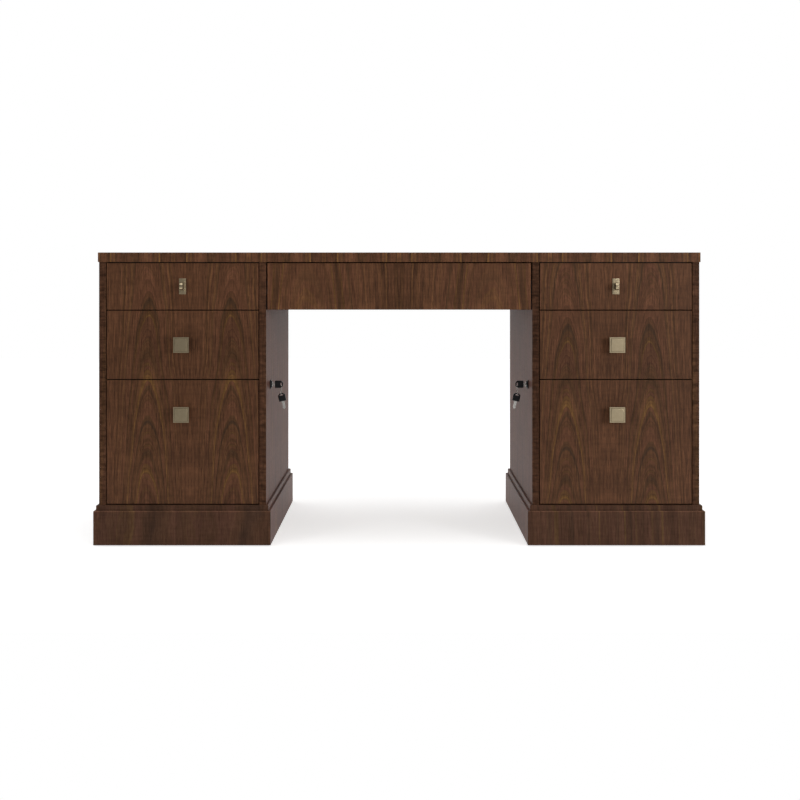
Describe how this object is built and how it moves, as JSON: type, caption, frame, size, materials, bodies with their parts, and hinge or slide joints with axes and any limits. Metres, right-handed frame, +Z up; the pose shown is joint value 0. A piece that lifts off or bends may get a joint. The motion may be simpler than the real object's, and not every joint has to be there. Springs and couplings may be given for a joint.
{
  "type": "executive desk",
  "caption": "Walnut-veneered double-pedestal executive desk with flush drawers on steel runners, brass pulls and keyed pedestal locks.",
  "frame": {"origin": "on the floor, under the middle of the desk's box", "axes": "+X along the desk to the right of someone facing the drawer fronts, +Y from the drawer fronts to the back, +Z up"},
  "size_m": [1.588, 0.7904, 0.762],
  "materials": {
    "walnut_veneer": "satin lacquered walnut veneer, grain upright",
    "drawer_maple": "clear sealed maple",
    "antique_brass": "satin antique brass",
    "runner_steel": "zinc plated steel",
    "screw_steel": "yellow zinc plated screws",
    "lock_black": "black lacquered rose",
    "lock_nickel": "satin nickel",
    "key_black": "black moulded bow, nickel blade and ring",
    "glide_nylon": "nylon"
  },
  "bodies": {
    "carcass": {"desk_top": "walnut_veneer", "rear_apron": "walnut_veneer", "top_rails": "drawer_maple", "top_screws": "screw_steel", "floor_glides": "glide_nylon", "cabinet_runners": "runner_steel", "left_outer_side": "walnut_veneer", "left_inner_side": "walnut_veneer", "left_back_panel": "walnut_veneer", "left_bottom_panel": "walnut_veneer", "left_plinth": "walnut_veneer", "left_plinth_moulding": "walnut_veneer", "left_lock_housing": "lock_black", "right_outer_side": "walnut_veneer", "right_inner_side": "walnut_veneer", "right_back_panel": "walnut_veneer", "right_bottom_panel": "walnut_veneer", "right_plinth": "walnut_veneer", "right_plinth_moulding": "walnut_veneer", "right_lock_housing": "lock_black"},
    "centre_drawer": {"centre_front": "walnut_veneer", "centre_box": "drawer_maple", "centre_runners": "runner_steel"},
    "left_top_drawer": {"left_top_front": "walnut_veneer", "left_top_box": "drawer_maple", "left_top_runners": "runner_steel", "left_top_pull": "antique_brass"},
    "left_middle_drawer": {"left_middle_front": "walnut_veneer", "left_middle_box": "drawer_maple", "left_middle_runners": "runner_steel", "left_middle_knob": "antique_brass"},
    "left_file_drawer": {"left_file_front": "walnut_veneer", "left_file_box": "drawer_maple", "left_file_runners": "runner_steel", "left_file_knob": "antique_brass", "left_file_rails": "runner_steel"},
    "left_file_middle_slides": {"left_file_middle_runners": "runner_steel"},
    "left_lock": {"left_lock_plug": "lock_nickel"},
    "left_lock_bar_body": {"left_lock_bar": "runner_steel"},
    "left_key_body": {"left_key": "key_black"},
    "left_spare_key_body": {"left_spare_key": "key_black"},
    "right_top_drawer": {"right_top_front": "walnut_veneer", "right_top_box": "drawer_maple", "right_top_runners": "runner_steel", "right_top_pull": "antique_brass"},
    "right_middle_drawer": {"right_middle_front": "walnut_veneer", "right_middle_box": "drawer_maple", "right_middle_runners": "runner_steel", "right_middle_knob": "antique_brass"},
    "right_file_drawer": {"right_file_front": "walnut_veneer", "right_file_box": "drawer_maple", "right_file_runners": "runner_steel", "right_file_knob": "antique_brass", "right_file_rails": "runner_steel"},
    "right_file_middle_slides": {"right_file_middle_runners": "runner_steel"},
    "right_lock": {"right_lock_plug": "lock_nickel"},
    "right_lock_bar_body": {"right_lock_bar": "runner_steel"},
    "right_key_body": {"right_key": "key_black"},
    "right_spare_key_body": {"right_spare_key": "key_black"}
  },
  "joints": [
    {"name": "centre_drawer_slide", "type": "slide", "parent": "carcass", "child": "centre_drawer", "axis": [0, -1, 0], "range_m": [0, 0.38]},
    {"name": "left_top_drawer_slide", "type": "slide", "parent": "carcass", "child": "left_top_drawer", "axis": [0, -1, 0], "range_m": [0, 0.48]},
    {"name": "left_middle_drawer_slide", "type": "slide", "parent": "carcass", "child": "left_middle_drawer", "axis": [0, -1, 0], "range_m": [0, 0.48]},
    {"name": "left_file_drawer_slide", "type": "slide", "parent": "carcass", "child": "left_file_drawer", "axis": [0, -1, 0], "range_m": [0, 0.62]},
    {"name": "left_file_middle_slides_slide", "type": "slide", "parent": "carcass", "child": "left_file_middle_slides", "axis": [0, -1, 0], "range_m": [0, 0.31]},
    {"name": "left_lock_turn", "type": "hinge", "parent": "carcass", "child": "left_lock", "pos_m": [-0.3465, -0.24725, 0.411], "axis": [1, 0, 0], "range_deg": [0, 90]},
    {"name": "left_lock_bar_lift", "type": "slide", "parent": "carcass", "child": "left_lock_bar_body", "axis": [0, 0, 1], "range_m": [0, 0.00848]},
    {"name": "left_key_withdraw", "type": "slide", "parent": "left_lock", "child": "left_key_body", "axis": [1, 0, 0], "range_m": [0, 0.03]},
    {"name": "left_spare_key_swing", "type": "hinge", "parent": "left_key_body", "child": "left_spare_key_body", "pos_m": [-0.317, -0.24725, 0.39538], "axis": [1, 0, 0], "range_deg": [-110, 110]},
    {"name": "right_top_drawer_slide", "type": "slide", "parent": "carcass", "child": "right_top_drawer", "axis": [0, -1, 0], "range_m": [0, 0.48]},
    {"name": "right_middle_drawer_slide", "type": "slide", "parent": "carcass", "child": "right_middle_drawer", "axis": [0, -1, 0], "range_m": [0, 0.48]},
    {"name": "right_file_drawer_slide", "type": "slide", "parent": "carcass", "child": "right_file_drawer", "axis": [0, -1, 0], "range_m": [0, 0.62]},
    {"name": "right_file_middle_slides_slide", "type": "slide", "parent": "carcass", "child": "right_file_middle_slides", "axis": [0, -1, 0], "range_m": [0, 0.31]},
    {"name": "right_lock_turn", "type": "hinge", "parent": "carcass", "child": "right_lock", "pos_m": [0.3465, -0.24725, 0.411], "axis": [1, 0, 0], "range_deg": [0, 90]},
    {"name": "right_lock_bar_lift", "type": "slide", "parent": "carcass", "child": "right_lock_bar_body", "axis": [0, 0, 1], "range_m": [0, 0.00848]},
    {"name": "right_key_withdraw", "type": "slide", "parent": "right_lock", "child": "right_key_body", "axis": [-1, 0, 0], "range_m": [0, 0.03]},
    {"name": "right_spare_key_swing", "type": "hinge", "parent": "right_key_body", "child": "right_spare_key_body", "pos_m": [0.317, -0.24725, 0.39538], "axis": [1, 0, 0], "range_deg": [-110, 110]}
  ],
  "couplings": [
    {"joint": "left_file_middle_slides_slide", "follows": "left_file_drawer_slide", "ratio": 0.5},
    {"joint": "left_lock_turn", "follows": "left_lock_bar_lift", "rad_per_m": 185.12},
    {"joint": "right_file_middle_slides_slide", "follows": "right_file_drawer_slide", "ratio": 0.5},
    {"joint": "right_lock_turn", "follows": "right_lock_bar_lift", "rad_per_m": 185.12}
  ]
}
